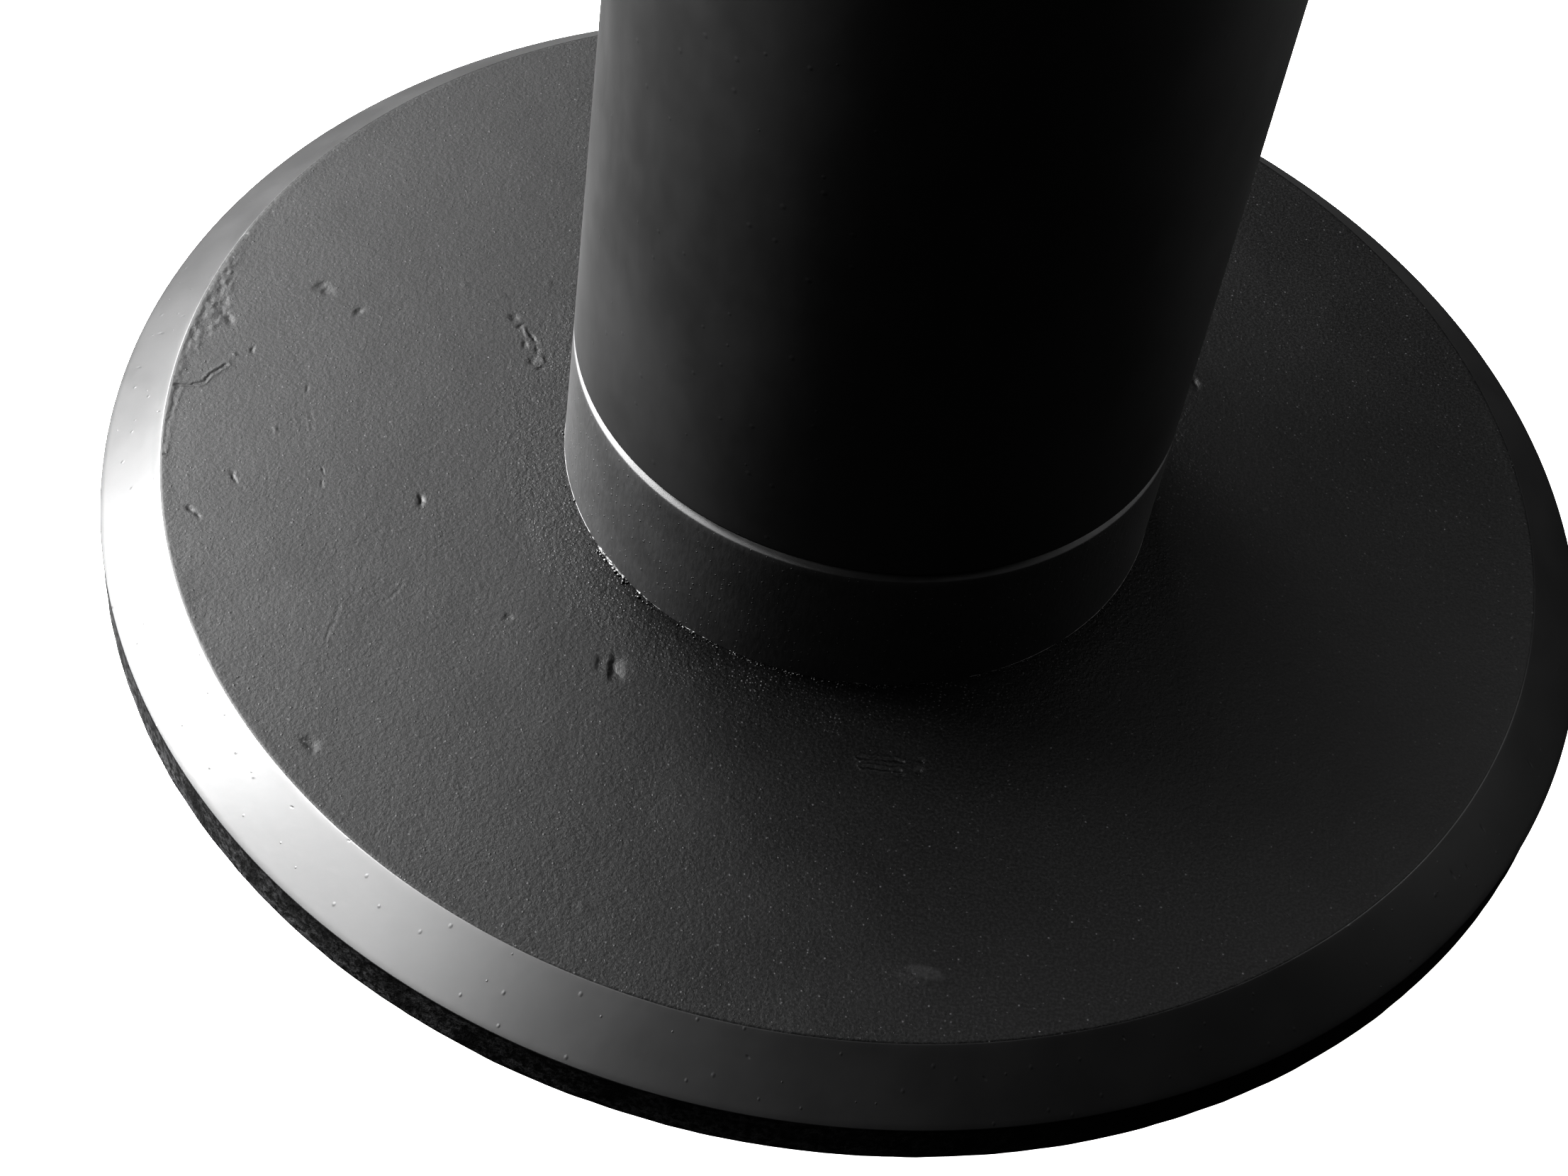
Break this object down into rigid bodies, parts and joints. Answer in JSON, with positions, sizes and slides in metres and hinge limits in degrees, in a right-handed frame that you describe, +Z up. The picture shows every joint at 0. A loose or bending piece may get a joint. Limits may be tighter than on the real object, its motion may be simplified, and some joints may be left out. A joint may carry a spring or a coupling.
{
  "type": "bollard post",
  "caption": "Round steel post on a heavy bevelled disc base, with a flush foot collar, a flanged head and a screw plug that closes the head's clamp chamber.",
  "frame": {"origin": "middle of the round footprint, on the surface that the base pad stands on", "axes": "+Z up along the post; the object is round, and a corner of the plug's hexagon socket points along +X"},
  "size_m": [0.289, 0.289, 0.446],
  "materials": {
    "plate_paint": "satin black paint over rough hot-rolled plate",
    "tube_paint": "smooth satin black paint",
    "weld_paint": "black paint over a small weld bead",
    "bare_steel": "turned, oiled",
    "zinc_steel": "zinc plated",
    "stainless": "fine turned",
    "rubber": "matt"
  },
  "bodies": {
    "bollard": {"base_pad": "rubber", "base_plate": "plate_paint", "base_collar": "plate_paint", "collar_weld": "weld_paint", "spigot_tube": "bare_steel", "spigot_seal_lower": "rubber", "spigot_seal_upper": "rubber", "spigot_weld": "bare_steel", "tie_rod_boss": "bare_steel", "boss_weld": "bare_steel", "tie_rod": "zinc_steel", "guide_disc": "bare_steel", "guide_nut_lower": "zinc_steel", "guide_nut_upper": "zinc_steel", "post_tube": "tube_paint", "post_head": "tube_paint", "head_seal": "rubber", "clamp_washer": "zinc_steel", "disc_spring": "zinc_steel", "clamp_nut": "zinc_steel", "lock_nut": "zinc_steel"},
    "plug_rider": {"plug_seal": "rubber"},
    "plug": {"screw_plug": "stainless"}
  },
  "joints": [
    {"name": "plug_rise", "type": "slide", "parent": "bollard", "child": "plug_rider", "axis": [0, 0, 1], "range_m": [0, 0.0101]},
    {"name": "plug_turn", "type": "hinge", "parent": "plug_rider", "child": "plug", "pos_m": [0, 0, 0.4416], "axis": [0, 0, 1], "range_deg": [0, 1800]}
  ],
  "couplings": [
    {"joint": "plug_rise", "follows": "plug_turn", "m_per_rad": 0.00031831}
  ]
}
